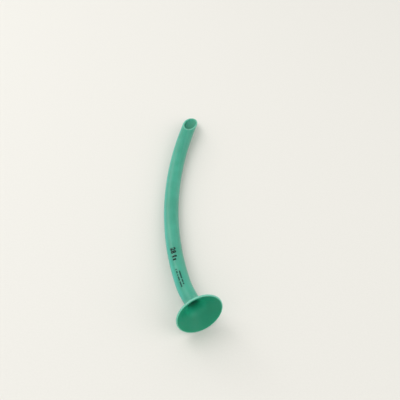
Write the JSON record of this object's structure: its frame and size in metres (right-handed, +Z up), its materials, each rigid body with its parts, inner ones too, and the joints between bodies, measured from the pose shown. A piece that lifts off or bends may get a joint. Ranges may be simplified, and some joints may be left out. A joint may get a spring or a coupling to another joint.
{
  "type": "nasopharyngeal airway",
  "caption": "Soft nasopharyngeal airway: a long gently bent tube with a wide trumpet flange at one end and a slanted, rounded bevel at the other.",
  "frame": {"origin": "on the surface that the airway lies on, under the middle of its outline", "axes": "+Z up; +Y from the middle of the flange's rim straight to the tip; +X to the side that the hollow of the bend faces"},
  "size_m": [0.034, 0.1728, 0.0281],
  "materials": {
    "soft_pvc": "semi-gloss, slightly translucent green soft PVC, faintly lighter at thin edges"
  },
  "bodies": {
    "root": {"nasal_airway": "soft_pvc"}
  },
  "joints": []
}
